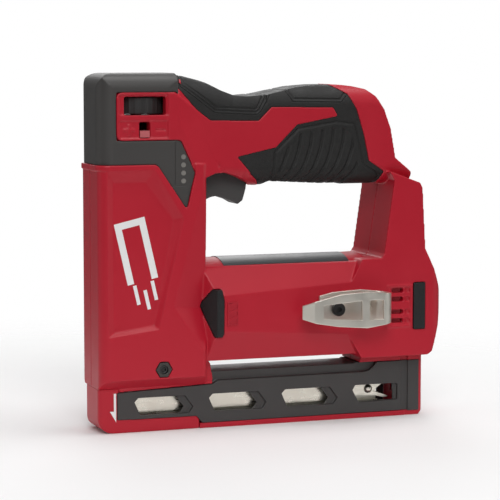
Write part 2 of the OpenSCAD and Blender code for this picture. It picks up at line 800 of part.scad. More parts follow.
module right_grip() {
  side_grip(1);
}

// Flat cover over the charge lights, let into the left side of the head cover
gauge_side = [
  [x_front + 43.7, z_head + 12.6], [x_front + 45, z_head + 12.6], [x_front + 46.6, z_head + 12],
  [x_front + 54.6, z_head - 4.9], [x_front + 53.1, z_head - 11.6], [x_front + 43.7, z_head - 11.6]
];

module gauge_panel() {
  color([0.25, 0.24, 0.24]) difference() {
    slab_between(gauge_side, -hw_head, -hw_head + 0.6);
    light_holes(0.05);
  }
}

module light_holes(grow = 0) {
  for (i = [0:3])
    rod_y_axis(-hw_head - 1, -hw_head + 1.2, light_r + grow, x_front + 48.3, z_head + 4.1 - i * light_pitch);
}

module gauge_lights() {
  color("gainsboro") for (i = [0:3])
    rod_y_axis(-hw_head - 0.05, -hw_head + 0.6, light_r, x_front + 48.3, z_head + 4.1 - i * light_pitch);
}

module front_bumpers() {
  color([0.18, 0.18, 0.18]) for (s = [-1, 1]) one_side(s) bumper_front();
}

module rear_bumpers() {
  color([0.18, 0.18, 0.18]) for (s = [-1, 1]) one_side(s) bumper_rear();
}

module barrel_label() {
  color([0.22, 0.24, 0.25]) translate([x_col + 11, 0, 0]) rotate([90, 0, 90])
    linear_extrude(x_post - x_col - 29) intersection() {
      difference() {
        translate([0, z_crown - 31.5]) circle(31.8);
        translate([0, z_crown - 31.5]) circle(31.5);
      }
      translate([-hw_bar + 8.7, z_bar_top - 1]) square([2 * hw_bar - 17.4, 8]);
    }
}

// Printed marks: a staple with three speed lines on each side, and an arrow on the nose
module side_marks() {
  color("white") for (s = [-1, 1]) one_side(s) {
    translate([x_front + 21.9, -hw_col + recess, z_bar + 60]) rotate([90, 0, 0])
      linear_extrude(0.15) rotate(13) staple_mark();
    translate([0, -hw_nose, 0]) rotate([90, 0, 0]) linear_extrude(0.15)
      polygon([[-1.2, z_nose - 2.6], [-1.2, 12.4], [-3.5, 12.4], [0.1, 6.3], [0.1, z_nose - 2.6]]);
  }
}

module staple_mark() {
  for (x = [-9, 5.2]) translate([x, -14]) square([3.8, 34]);
  translate([-9, 17]) square([18, 3.8]);
  for (i = [-1:1]) translate([i * 5.2 - 1, -30 + abs(i) * 4]) square([2, 11]);
}

// Plain badges: a thin frame round three slanting bars
module side_badges() {
  color("firebrick") for (s = [-1, 1]) one_side(s) {
    difference() {
      badge_block(0, 0.45);
      badge_block(0.7, 1);
    }
    intersection() {
      badge_block(0.7, 0.4);
      for (i = [0:2]) translate([x_col + 10.3, -far, z_bar + 21.6 + i * 4.1]) rotate([0, -22, 0])
        cube([10, far, 1.7]);
    }
    box(x_col + 10.4, x_col + 16.6, -hw_bar - 0.12, -hw_bar, z_bar + 20.4, z_bar + 33.5);
  }
}

module badge_block(inset, lift) {
  box(x_col + 10.3 + inset, x_col + 16.7 - inset, -hw_bar - lift, -hw_bar,
    z_bar + 20.3 + inset, z_bar + 33.6 - inset);
}

// ---------- belt hook ----------

x_bend = x_post + 1.1 - hook_gap / 2 - hook_t;
y_leaf = -hw_bar - hook_gap - 2 * hook_t;
x_tip = x_post - 53.9;
hook_side = [
  [x_tip, hook_z - 3.8], [x_tip + 7.2, hook_z - 6.2], [x_tip + 20.7, hook_z - 8.5],
  [x_tip + 38.2, hook_z - 10], [x_post + 1.4, hook_z - 7.6], [x_post + 1.4, hook_z + 9],
  [x_tip + 50.7, hook_z + 9.4], [x_tip + 39.2, hook_z + 10.7], [x_tip + 22.3, hook_z + 9.8],
  [x_tip + 7.2, hook_z + 6.4], [x_tip, hook_z + 3.6]
];

module hook_plan() {
  translate([hook_x - 11, -hw_bar - hook_t]) square([x_bend - hook_x + 11, hook_t]);
  translate([x_tip + 6, y_leaf]) square([x_bend - x_tip - 6, hook_t]);
  polygon([[x_tip + 6.1, y_leaf], [x_tip + 6.1, y_leaf + hook_t], [x_tip + 0.8, y_leaf + hook_t + 3.6],
    [x_tip, y_leaf + hook_t + 2]]);
  intersection() {
    translate([x_bend - tiny, y_leaf - 1]) square([20, hook_gap + 2 * hook_t + 2]);
    difference() {
      translate([x_bend, -hw_bar - hook_t - hook_gap / 2]) circle(hook_gap / 2 + hook_t);
      translate([x_bend, -hw_bar - hook_t - hook_gap / 2]) circle(hook_gap / 2);
    }
  }
}

module belt_hook() {
  color("silver") difference() {
    intersection() {
      translate([0, 0, hook_z - 20]) linear_extrude(40) hook_plan();
      slab(hook_side, far);
    }
    rod_y_axis(-hw_bar - hook_t - 1, -hw_bar + 1, thread_r + 0.2, hook_x, hook_z);
    slab_between([[x_tip + 11.5, hook_z - 3.6], [x_tip + 34.8, hook_z - 5.4], [x_tip + 34.8, hook_z + 5.6],
      [x_tip + 11.5, hook_z + 4]], y_leaf - 1, y_leaf + hook_t + 0.1);
    slab_between([[x_tip + 39.6, hook_z - 5.4], [x_tip + 48, hook_z - 5.2], [x_tip + 48, hook_z + 5.6],
      [x_tip + 39.6, hook_z + 5.8]], y_leaf - 1, y_leaf + hook_t + 0.1);
  }
}

module belt_hook_screw() {
  color([0.15, 0.15, 0.15]) difference() {
    union() {
      rod_y_axis(-hw_bar - hook_t - 2.4, -hw_bar - hook_t, 3.8, hook_x, hook_z);
      rod_y_axis(-hw_bar - hook_t - tiny, -hw_bar + insert_len - 1, thread_r - 0.05, hook_x, hook_z);
    }
    rod_y_axis(-hw_bar - hook_t - 3, -hw_bar - hook_t - 0.9, 1.6, hook_x, hook_z);
  }
}

module hook_inserts() {
  color("goldenrod") for (s = [-1, 1]) one_side(s) difference() {
    rod_y_axis(-hw_bar, -hw_bar + insert_len, insert_r, hook_x, hook_z);
    rod_y_axis(-hw_bar - 1, -hw_bar + insert_len + 1, thread_r, hook_x, hook_z);
  }
}

// ---------- fasteners ----------

module housing_screws() {
  color([0.2, 0.2, 0.2]) for (p = screw_places) difference() {
    union() {
      rod_y_axis(-12, screw_seat + tiny, screw_r, p[0], p[1]);
      rod_y_axis(screw_seat, screw_seat + 2.4, screw_head_r, p[0], p[1]);
    }
    rod_y_axis(screw_seat + 1, screw_seat + 3, 1.2, p[0], p[1]);
  }
}

module nose_bolt() {
  color([0.25, 0.25, 0.25]) difference() {
    union() {
      rod_y_axis(-hw_col + 1, hw_col - 3.6 + tiny, bolt_r, bolt_x, bolt_z);
      rod_y_axis(hw_col - 3.6, hw_col - 0.8, 4.5, bolt_x, bolt_z);
    }
    translate([bolt_x, hw_col - 2.4, bolt_z]) rotate([-90, 0, 0])
      cylinder(h = 4, r = 2.3, $fn = 6);
    rod_y_axis(-hw_col, -hw_col + 2.4, 1.3, bolt_x, bolt_z);
  }
}

module nose_nut() {
  color("darkgray") translate([bolt_x, 0, bolt_z]) rotate([90, 0, 0]) difference() {
    translate([0, 0, hw_col - 3.6]) cylinder(h = 3.4, r = nut_flats / 2 / cos(30), $fn = 6);
    translate([0, 0, hw_col - 5]) cylinder(h = 10, r = bolt_r);
  }
}

// ---------- nose and magazine ----------

// Upper edge of the magazine's black side, rising to the tail
panel_side = [
  [x_channel - 0.2, z_nose - 17.6], [x_col - 4.8, z_nose - 17.9], [x_col - 1.4, z_floor + seam],
  [x_frame_end - 0.2, z_floor + seam], [x_frame_end - 0.2, z_panel_top + 5.4],
  [x_post + 0.5, z_panel_top + 5.6], [x_post - 1.3, z_panel_top + 3.3],
  [x_post - 4.4, z_panel_top + 0.6], [x_post - 8, z_panel_top], [x_col + 8, z_panel_top - 0.3],
  [x_col + 4.8, z_panel_top - 2.1], [x_channel - 0.2, z_nose - 2.4]
];

// Room between the side panels
module magazine_bore() {
  box(x_channel - 0.4, far, -hw_mag + panel_t, hw_mag - panel_t, -1, z_nose - 1.4);
}

module nose_guard() {
  color("firebrick") difference() {
    intersection() {
      slab(concat([[x_col + 4.5, z_nose], [x_front + 0.4, z_nose]],
        [[x_front + 0.4, 8]],
        arc([x_front + 8.4, 8], 8, 180, 270, 8),
        [[x_col - 3.2, 0], [x_col - 3.2, z_nose - 18.4], [x_col + 4.5, z_nose - 8]]), far);
      union() {
        linear_extrude(far) round_plan(x_front + 0.4, x_col - 3.2, hw_nose, r_nose, 0.5);
        linear_extrude(far) round_plan(x_front + 6, x_col + 4.5, hw_nose - 0.2, 1, 0.5);
      }
    }
    slab_between(panel_side, -far, -hw_mag + panel_t + 0.1);
    slab_between(panel_side, hw_mag - panel_t - 0.1, far);
    // room for the skirts of the column's foot
    for (s = [-1, 1]) one_side(s)
      box(x_channel + 0.8, far, -far, -hw_mag + panel_t + 0.1, z_nose - 3.4, far);
    // path of the driver and the steel parts behind the front wall
    box(-blade / 2 - sheet - 1.6, x_col + 10, -hw_channel - 0.15, hw_channel + 0.15, -1, z_nose + 1);
    magazine_bore();
  }
}

module nose_plate() {
  color("silver") box(-blade / 2 - sheet - 1.5, -blade / 2 - 0.05, -hw_channel, hw_channel,
    0.1, z_nose + 2.6);
}

// A six-sided window, pointed at both ends; the last one is square at the rear
function window_side(x, l) = [
  [x, 16.9], [x + 2.2, 19.2], [x + l - 4.8, 19.1], [x + l, 12.6], [x + l - 2.4, 9.1], [x + 3.4, 9.2]
];
function last_window_side(x, l) = [
  [x, 16.4], [x + 1.6, 19.2], [x + l - 1, 19.2], [x + l, 18.2], [x + l, 9.6], [x + 3.8, 9.2]
];

// The first child as a shallow opening in both sides, the second right through
module magazine_window(x) {
  translate([x, 0, 0]) {
    difference() {
      children(0);
      box(-1, far, -hw_mag + 1.7, hw_mag - 1.7, 0, far);
    }
    children(1);
  }
}

module magazine_frame() {
  color([0.27, 0.26, 0.26]) difference() {
    union() {
      difference() {
        slab(panel_side, 2 * hw_mag);
        slab(panel_side, 2 * (hw_mag - panel_t));
      }
      // roof between the barrel slot and the drawer
      slab([[x_col + 5, z_nose - 1.3], [x_frame_end - 0.2, z_nose - 1.3],
        [x_frame_end - 0.2, z_panel_top + 5.4], [x_post - 1, z_panel_top + 5.4],
        [x_tail + 3.2, z_mag_top + 2.6], [x_tail + 0.6, z_mag_top], [x_col + 5, z_mag_top]],
        2 * (hw_mag - panel_t + 0.3));
      // rib that carries the steel channel
      box(x_col + 6, x_frame_end - 20, -3, 3, z_channel + sheet, z_nose);
    }
    // each window is wider at the outside than where it opens inwards
    for (i = [0:2]) magazine_window(window_x + i * window_pitch) {
      slab(window_side(0, window_len), far);
      slab(window_side(0.4, window_len - 5.6), far);
    }
    magazine_window(window_x + 3 * window_pitch) {
      slab(last_window_side(0, last_window_len), far);
      slab(last_window_side(0.4, last_window_len - 2.6), far);
    }
    // notch that the housing's foot fills
    box(x_tail + 1, far, -far, far, z_panel_top + 5.4, far);
  }
}

// Fixed outer rail, an upside-down channel over the staples, with its locking balls
module staple_channel() {
  color("gainsboro") {
    difference() {
      box(x_channel, x_rail_end + 6.5, -hw_channel, hw_channel, 10.2, z_channel + sheet);
      box(x_channel - 1, x_rail_end + 8, -hw_slot, hw_slot, 9, z_channel);
      for (s = [-1, 1]) one_side(s) {
        // V-shaped notch at the rear end, and the raised lower edge before it
        slab_between([[x_rail_end + 8, 10.4], [x_rail_end - 2.9, 14.1], [x_rail_end + 8, 22.1]],
          -hw_channel - 1, -hw_slot + 0.1);
        slab_between([[x_rail_end - 18, 9], [x_rail_end - 17, 12.4], [x_rail_end - 2, 11.6],
          [x_rail_end + 8, 9]], -hw_channel - 1, -hw_slot + 0.1);
      }
    }
    for (s = [-1, 1]) translate([x_rail_end - 5.9, s * (hw_channel - 0.4), 15.6]) ball_half(s);
  }
}

// Outer half of a locking ball
module ball_half(s) {
  intersection() {
    sphere(2.6);
    box(-3, 3, s < 0 ? -3 : 0, s < 0 ? 0 : 3, -3, 3);
  }
}

module magazine_drawer() {
  color("firebrick") difference() {
    union() {
      box(x_col - 2.9, x_frame_end + 2, -hw_mag, hw_mag, 0, z_floor);
      intersection() {
        linear_extrude(z_bar - 2.6) round_plan(x_frame_end, x_drawer_end, hw_nose, 0.3, 2);
        slab([[x_frame_end, 0], [x_drawer_end - 2.4, 0], [x_drawer_end, 2.4],
          [x_drawer_end, z_bar - 2.6], [x_frame_end, z_bar - 2.6]], far);
      }
    }
    // finger grooves, and the beds of the side inlays
    for (s = [-1, 1]) one_side(s) {
      box(x_frame_end - 1, x_frame_end + 4.4, -far, -hw_nose + 1.4, z_floor, far);
      box(x_frame_end + 4.3, x_drawer_end - 2.2, -far, -hw_nose + 1, z_floor - 0.4, z_panel_top + 5.5);
    }
    // pocket for the latch and its spring
    box(x_drawer_end - 6, far, -7.1, 7.1, 9.9, 20.1);
    box(x_frame_end - 1, x_drawer_end - 5.9, -2.3, 2.3, 12.7, 17.3);
  }
}

module drawer_inlays() {
  color([0.27, 0.26, 0.26]) for (s = [-1, 1]) one_side(s) {
    box(x_frame_end + 4.4, x_drawer_end - 2.3, -hw_nose - 0.3, -hw_nose + 1, z_floor - 0.3,
      z_panel_top + 5.4);
    // floor of the finger groove
    box(x_frame_end + 0.1, x_frame_end + 4.4, -hw_nose + 0.7, -hw_nose + 1.4, z_floor,
      z_panel_top + 5.4);
  }
}

// Steel tray of the drawer and the inner rail that the staples straddle
module drawer_rail() {
  color("silver") {
    box(x_channel + 0.4, x_rail_end, -hw_channel, hw_channel, z_floor, z_floor + sheet);
    for (s = [-1, 1]) one_side(s)
      box(x_channel + 0.4, x_rail_end, -hw_channel, -hw_channel + sheet, z_floor + sheet - tiny, 9.2);
    difference() {
      box(x_channel + 0.4, x_rail_end, -hw_rail, hw_rail, z_floor + sheet - tiny, z_channel - 1.7);
      box(x_channel - 1, x_rail_end - sheet, -hw_rail + sheet, hw_rail - sheet, z_floor + sheet,
        z_channel - 1.7 - sheet);
      box(x_channel - 1, x_rail_end - 20, -1.4, 1.4, z_floor + sheet, far);
    }
    box(x_rail_end - 1, x_frame_end, -4, 4, z_floor, z_floor + 3);
  }
}

pusher_x = x_channel + 6;
pusher_len = 19;
spring_start = pusher_x + pusher_len - 3;

module staple_pusher() {
  color("lightgray") {
    difference() {
      box(pusher_x, pusher_x + pusher_len, -hw_slot + 0.15, hw_slot - 0.15, 9.5, z_channel - 0.2);
      box(pusher_x - 1, pusher_x + pusher_len + 1, -hw_rail - 0.15, hw_rail + 0.15, 9, z_channel - 1.5);
    }
    box(pusher_x + 4, spring_start, -1.1, 1.1, 6.4, z_channel - 1.4);
    box(spring_start - 2, spring_start, -hw_rail + sheet + 0.3, hw_rail - sheet - 0.3, 6.4, 12.4);
  }
}

module pusher_spring() {
  reach = x_rail_end - sheet - spring_start;
  color("silver") translate([spring_start, 0, 9.4]) rotate([0, 90, 0])
    coil(2.2, 0.35, reach, 30, 10, 5);
}

module magazine_latch() {
  color([0.2, 0.2, 0.2]) {
    box(x_drawer_end - 3.2, x_drawer_end + 1.6, -6.9, 6.9, 10.1, 19.9);
    box(x_frame_end + 1, x_drawer_end - 3.1, -2, 2, 13, 17);
  }
}

module latch_spring() {
  color("silver") translate([x_drawer_end - 5.9, 4.2, 15]) rotate([0, 90, 0])
    coil(1.4, 0.3, 2.6, 3, 10, 5);
}

// ---------- fixed mechanism ----------

hw_block = hw_col - recess - wall - 0.1;
hw_plate = min(hw_block, hw_head - skin - 0.5);

module lower_block() {
  color("gray") difference() {
    box(x_block - 15.2, x_block, -hw_block, hw_block, z_nose + 4, z_nose + 18);
    for (s = [-1, 1]) translate([rod_x, s * rod_y, z_nose + 8]) cylinder(h = 20, r = rod_r);
    rod_y_axis(-far, far, bolt_r + 0.05, bolt_x, bolt_z);
  }
}

module upper_plate() {
  color("gray") difference() {
    box(x_front + wall + 0.2, x_block - 0.2, -hw_plate, hw_plate, rod_top, z_head - 0.6);
    for (s = [-1, 1]) translate([rod_x, s * rod_y, rod_top - 1]) cylinder(h = 10, r = rod_r);
    translate([spring_x, 0, rod_top - 1]) cylinder(h = 2.2, r = spring_r - spring_wire - 1.5);
  }
}

module guide_rods() {
  color("silver") for (s = [-1, 1])
    translate([rod_x, s * rod_y, z_nose + 8]) cylinder(h = z_head - 0.6 - z_nose - 8, r = rod_r);
}

module bumper_sleeves() {
  z0 = z_nose + 18;
  color("gray") for (s = [-1, 1]) translate([rod_x, s * rod_y, z0]) difference() {
    cylinder(h = carrier_z - bumper_h - 0.1 - z0, r = rod_r + 1.6);
    translate([0, 0, -1]) cylinder(h = far, r = rod_r);
  }
}

module striker_bumpers() {
  color([0.12, 0.12, 0.12]) for (s = [-1, 1])
    translate([rod_x, s * rod_y, carrier_z - bumper_h - 0.1]) difference() {
      cylinder(h = bumper_h, r = rod_r + 2.1);
      translate([0, 0, -1]) cylinder(h = far, r = rod_r);
    }
}

module gearbox_case() {
  color("gray") difference() {
    rod_x_axis(x_gearbox, x_motor, case_r, z = z_axis);
    rod_x_axis(x_gearbox + 3, x_motor + 1, case_r - 3, z = z_axis);
    rod_x_axis(x_gearbox - 1, x_motor + 1, shaft_r + 1, z = z_axis);
  }
}

module shaft_bearing() {
  color("goldenrod") difference() {
    rod_x_axis(x_gearbox - 9, x_gearbox, bearing_r, z = z_axis);
    rod_x_axis(x_gearbox - 10, x_gearbox + 1, shaft_r + fit, z = z_axis);
  }
}

module motor_can() {
  color("darkgray") difference() {
    rod_x_axis(x_motor, x_motor + motor_len, motor_r, z = z_axis);
    rod_x_axis(x_motor + 2, x_motor + motor_len + 1, motor_r - 1.4, z = z_axis);
    rod_x_axis(x_motor - 1, x_motor + 3, 1.5 + fit, z = z_axis);
  }
}

module motor_magnets() {
  color([0.3, 0.3, 0.32]) difference() {
    rod_x_axis(x_motor + 5, x_motor + motor_len - 8, motor_r - 1.4, z = z_axis);
    rod_x_axis(x_motor + 4, x_motor + motor_len, motor_r - 4.6, z = z_axis);
    box(x_motor, x_motor + motor_len, -motor_r, motor_r, z_axis - 2.5, z_axis + 2.5);
  }
}

module motor_end_cap() {
  color([0.2, 0.2, 0.2]) difference() {
    rod_x_axis(x_motor + motor_len, x_motor + motor_len + 4, motor_r, z = z_axis);
    rod_x_axis(x_motor + motor_len - 1, x_motor + motor_len + 2.5, 1.5 + fit, z = z_axis);
  }
}

module control_board() {
  color("darkgreen") {
    box(x_col + 36, x_post - 26, -0.8, 0.8, z_grip + 13.5, z_crest - 25);
    box(x_col + 42, x_col + 52, -4, -0.7, z_grip + 20, z_grip + 28);
    box(x_post - 48, x_post - 36, 0.7, 5, z_grip + 18, z_grip + 26);
  }
}

module trigger_switch() {
  color([0.16, 0.16, 0.18]) difference() {
    box(x_col + 10, x_col + 29, -6, 6, switch_z, z_crest - 20);
    translate([plunger_x, 0, switch_z - 1]) cylinder(h = 7, r = plunger_r + fit);
  }
}

module trigger_pin() {
  color("silver") rod_y_axis(-hw_trigger - 3, hw_trigger + 3, pin_r, pivot_x, pivot_z);
}

module terminal_block() {
  color([0.14, 0.14, 0.14]) difference() {
    box(x_bay - 6, x_bay + 2, -9, 9, bay_z - 10, bay_z + 10);
    blades(0);
  }
}

module blades(grow) {
  for (y = [-6.5, -2.2, 2.2, 6.5])
    box(x_bay - 4, x_bay + 11, y - 0.4 - grow, y + 0.4 + grow, bay_z - 4, bay_z + 4);
}

module battery_terminals() {
  color("goldenrod") blades(0);
}

// ---------- trigger ----------

module trigger() {
  color([0.22, 0.22, 0.22]) difference() {
    slab_between([
      [x_col + 2.2, z_grip + 4], [x_col + 2.2, z_grip + 9], [x_col + 3.6, z_grip + 12.6],
      [x_col + 6.6, z_grip + 13.2], [x_col + 10, trigger_top], [x_col + 26.2, trigger_top],
      [x_col + 27.3, z_grip + 1.2], [x_col + 26.9, z_grip - 2], [x_col + 25, z_grip - 8.5],
      [x_col + 22, z_grip - 10.6], [x_col + 18.1, z_grip - 8.3], [x_col + 9.8, z_grip - 5.6],
      [x_col + 6, z_grip - 6.2], [x_col + 2.2, z_grip - 7.9]], -hw_trigger, hw_trigger);
    rod_y_axis(-far, far, pin_r + fit, pivot_x, pivot_z);
  }
}

module trigger_spring() {
  color("silver") translate([plunger_x, 0, trigger_top + 0.05])
    coil(plunger_r + 1, 0.4, switch_z - trigger_top - 0.1, 4, 12, 5);
}

module switch_plunger() {
  color([0.16, 0.16, 0.18]) {
    translate([plunger_x, 0, trigger_top + 1.4]) cylinder(h = switch_z - trigger_top + 0.6, r = plunger_r);
    translate([plunger_x, 0, trigger_top + 0.25]) cylinder(h = 1.3, r = 0.9);
  }
}

// ---------- depth wheel ----------

module depth_wheel() {
  color([0.28, 0.28, 0.29]) {
    translate([wheel_x, 0, wheel_z0]) cylinder(h = wheel_z1 - wheel_z0, r = wheel_r - 0.7);
    for (i = [0:wheel_ribs - 1]) translate([wheel_x, 0, 0]) rotate(360 * i / wheel_ribs)
      translate([wheel_r - 1.6, 0, wheel_z0 + 0.3])
      cylinder(h = wheel_z1 - wheel_z0 - 0.6, r = 1.1);
    translate([wheel_x, 0, z_head + 3]) cylinder(h = wheel_z1 + 4 - z_head - 3, r = spindle_r);
  }
}

module depth_carriage() {
  color("lightcoral") difference() {
    union() {
      translate([wheel_x, 0, z_top - 38.4]) cylinder(h = 7, r = 6);
      box(wheel_x - 3.1, wheel_x + 2.4, -hw_head + 0.6, -3.5, z_top - 35.1, z_top - 31.4);
    }
    translate([wheel_x, 0, z_top - 39]) cylinder(h = 9, r = spindle_r + fit);
  }
}

// ---------- striker and lifting gear ----------

module striker_carrier() {
  rack_y = pinion_r;
  color("dimgray") difference() {
    union() {
      box(-2, rod_x + 7, -rod_y - 3.4, rod_y + 3.4, carrier_z, carrier_z + carrier_h);
      // rack that hangs beside the pinion
      box(pinion_x - 0.5, pinion_x + pinion_w - 0.5, rack_y + 1.2 * gear_module, hw_block - 0.5,
        z_axis - 24, carrier_z + 1);
      for (i = [-5:2]) translate([pinion_x - 0.5, rack_y, z_axis + i * rack_pitch])
        rotate([90, 0, 90]) linear_extrude(pinion_w) polygon([
          [1.2 * gear_module + 0.2, -0.4 * rack_pitch], [-0.8 * gear_module, -0.1 * rack_pitch],
          [-0.8 * gear_module, 0.1 * rack_pitch], [1.2 * gear_module + 0.2, 0.4 * rack_pitch]]);
    }
    for (s = [-1, 1]) translate([rod_x, s * rod_y, carrier_z - 1]) cylinder(h = far, r = rod_r + fit);
    box(-blade / 2, blade / 2, -hw_staple, hw_staple, carrier_z - 1, carrier_z + 6);
    translate([spring_x, 0, carrier_z + carrier_h - 2]) difference() {
      cylinder(h = 3, r = spring_r + spring_wire + 0.4);
      translate([0, 0, -1]) cylinder(h = 5, r = spring_r - spring_wire - 0.4);
    }
  }
}

module driver_blade() {
  color("silver") box(-blade / 2, blade / 2, -hw_staple, hw_staple, 1, carrier_z + 6);
}

module main_spring() {
  z0 = carrier_z + carrier_h - 2;
  color("silver") translate([spring_x, 0, z0])
    coil(spring_r, spring_wire, rod_top - z0, 9, 18, 8);
}

module lifter_shaft() {
  color("silver") {
    rod_x_axis(pinion_x - 1, x_gearbox + 6, shaft_r, z = z_axis);
    rod_x_axis(x_gearbox + 5, x_gearbox + 8.5, case_r - 5, z = z_axis);
    for (a = [0, 120, 240]) planet(a) rod_x_axis(x_gearbox + 8, x_motor - 3, 1.2);
  }
}

// Moves its children, drawn about the X axis, to one of the planet places
module planet(a) {
  translate([0, 0, z_axis]) rotate([a, 0, 0]) translate([0, 0, 7.4]) children();
}

module lifter_pinion() {
  color("darkgray") translate([pinion_x, 0, z_axis]) rotate([0, 90, 0]) difference() {
    rotate(180 / pinion_teeth) spur(pinion_r, pinion_teeth, gear_module, pinion_w);
    translate([0, 0, -1]) cylinder(h = far, r = shaft_r);
  }
}

module planet_gears() {
  color("goldenrod") for (a = [0, 120, 240]) planet(a) difference() {
    rod_x_axis(x_gearbox + 9, x_motor - 3.5, 4.6);
    rod_x_axis(x_gearbox + 8, x_motor, 1.2);
  }
}

module motor_rotor() {
  color([0.55, 0.35, 0.2]) {
    rod_x_axis(x_motor + 6, x_motor + motor_len - 9, motor_r - 5.2, z = z_axis);
    rod_x_axis(x_gearbox + 9.5, x_motor - 3, 2.5, z = z_axis);
    rod_x_axis(x_gearbox + 9.5, x_motor + motor_len + 2.3, 1.5, z = z_axis);
  }
}

module commutator() {
  color("goldenrod") difference() {
    rod_x_axis(x_motor + motor_len - 8, x_motor + motor_len - 2, 4, z = z_axis);
    rod_x_axis(x_motor, x_motor + motor_len, 1.5, z = z_axis);
  }
}

// ---------- drawing ----------

left_housing();
right_housing();
head_cover();
grip_saddle();
crest_pad();
left_grip();
right_grip();
gauge_panel();
gauge_lights();
nose_guard();
front_bumpers();
rear_bumpers();
belt_hook();
belt_hook_screw();
hook_inserts();
housing_screws();
nose_bolt();
nose_nut();
barrel_label();
side_badges();
side_marks();
magazine_frame();
staple_channel();
nose_plate();
lower_block();
upper_plate();
guide_rods();
bumper_sleeves();
striker_bumpers();
gearbox_case();
shaft_bearing();
motor_can();
motor_magnets();
motor_end_cap();
control_board();
trigger_switch();
trigger_pin();
terminal_block();
battery_terminals();
trigger();
trigger_spring();
switch_plunger();
depth_wheel();
depth_carriage();
striker_carrier();
driver_blade();
main_spring();
lifter_shaft();
lifter_pinion();
planet_gears();
motor_rotor();
commutator();
magazine_drawer();
drawer_inlays();
drawer_rail();
staple_pusher();
pusher_spring();
magazine_latch();
latch_spring();
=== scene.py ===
import json
import math

import bmesh
import bpy
import numpy as np
from mathutils import Matrix, Vector


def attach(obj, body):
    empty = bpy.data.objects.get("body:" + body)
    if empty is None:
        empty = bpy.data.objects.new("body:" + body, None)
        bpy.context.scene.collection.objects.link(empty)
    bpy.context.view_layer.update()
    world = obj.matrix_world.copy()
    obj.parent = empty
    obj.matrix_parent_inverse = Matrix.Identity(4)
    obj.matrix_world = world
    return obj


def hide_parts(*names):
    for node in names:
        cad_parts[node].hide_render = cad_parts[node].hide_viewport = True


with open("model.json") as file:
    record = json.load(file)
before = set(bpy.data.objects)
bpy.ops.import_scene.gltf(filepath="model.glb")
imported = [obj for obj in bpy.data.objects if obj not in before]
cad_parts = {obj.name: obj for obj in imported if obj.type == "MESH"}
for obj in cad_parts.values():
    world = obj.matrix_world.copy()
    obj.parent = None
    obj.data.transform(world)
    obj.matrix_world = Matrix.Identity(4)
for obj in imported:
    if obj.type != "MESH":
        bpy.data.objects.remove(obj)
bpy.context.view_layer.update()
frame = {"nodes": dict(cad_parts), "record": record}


mm = 0.001
# sockets of the colour Mix node
mixFirst, mixSecond, mixResult = 6, 7, 2


# millimetres and degrees; shift moves the eye left and up
camera = {
    "target": (89.0, 0.0, 97.1), "azimuth": -20.0, "elevation": 5.6, "distance": 1211.4,
    "shift": (4.5713, 1.1428), "lens": 152.64, "sensor": 36.0,
    # nearest and farthest things seen, in metres
    "clip": (0.05, 20),
}


def placeCamera(c):
    az, el = math.radians(c["azimuth"]), math.radians(c["elevation"])
    back = Vector((math.sin(az) * math.cos(el), -math.cos(az) * math.cos(el), math.sin(el)))
    right = Vector((math.cos(az), math.sin(az), 0))
    up = back.cross(right)
    dx, dy = c["shift"]
    place = Vector(c["target"]) + back * c["distance"] - right * dx + up * dy
    data = bpy.data.cameras.new("camera")
    data.lens = c["lens"]
    data.sensor_width = c["sensor"]
    data.clip_start, data.clip_end = c["clip"]
    eye = bpy.data.objects.new("camera", data)
    bpy.context.scene.collection.objects.link(eye)
    turn = Matrix((right, up, back)).transposed()
    eye.matrix_world = Matrix.Translation(place * mm) @ turn.to_4x4()
    bpy.context.scene.camera = eye


placeCamera(camera)
print("camera placed")


studio = {
    "floorHalf": 1.5,
    "floorDrop": 0.05,
    "backdrop": 1.0,
    # strength of the room seen in reflections: below, at eye level and overhead
    "room": [(0.0, 0.12), (0.47, 0.2), (0.6, 0.26), (1.0, 0.4)],
    # name, place in metres, size in metres, watts
    "lights": [
        ("keyLight", (-0.2, -1.2, 0.95), 0.75, 9.0),
        ("topLight", (0.25, -0.1, 1.2), 0.7, 6.0),
        ("noseLight", (-1.25, 0.25, 0.4), 0.4, 1.1),
        ("tailLight", (1.15, -0.45, 0.3), 0.5, 1.2),
        ("backLight", (0.3, 1.1, 0.7), 0.8, 4.0),
    ],
    "aim": (0.09, 0.0, 0.1),
}


def rgb(r, g, b):
    return (r, g, b, 1.0)


def setStops(ramp, stops):
    places = ramp.color_ramp.elements
    while len(places) < len(stops):
        places.new(0.5)
    for place, (at, colour) in zip(places, stops):
        place.position, place.color = at, colour


def linkNodes(tree, pairs):
    for source, out, target, into in pairs:
        tree.links.new(source.outputs[out], target.inputs[into])


def setRoom(s):
    # white behind the object, and a dimmer room that grows lighter overhead for all other rays
    world = bpy.data.worlds.new("studio")
    world.use_nodes = True
    tree = world.node_tree
    sky = tree.nodes["Background"]
    rays = tree.nodes.new("ShaderNodeLightPath")
    place = tree.nodes.new("ShaderNodeTexCoord")
    parts = tree.nodes.new("ShaderNodeSeparateXYZ")
    height = tree.nodes.new("ShaderNodeMapRange")
    height.inputs["From Min"].default_value = -1.0
    ramp = tree.nodes.new("ShaderNodeValToRGB")
    setStops(ramp, [(at, rgb(level, level, level)) for at, level in s["room"]])
    choose = tree.nodes.new("ShaderNodeMix")
    choose.data_type = "RGBA"
    choose.inputs[mixSecond].default_value = rgb(s["backdrop"], s["backdrop"], s["backdrop"])
    linkNodes(tree, [
        (place, "Generated", parts, 0), (parts, 2, height, 0), (height, 0, ramp, 0),
        (rays, "Is Camera Ray", choose, 0), (ramp, 0, choose, mixFirst),
        (choose, mixResult, sky, "Color")])
    bpy.context.scene.world = world


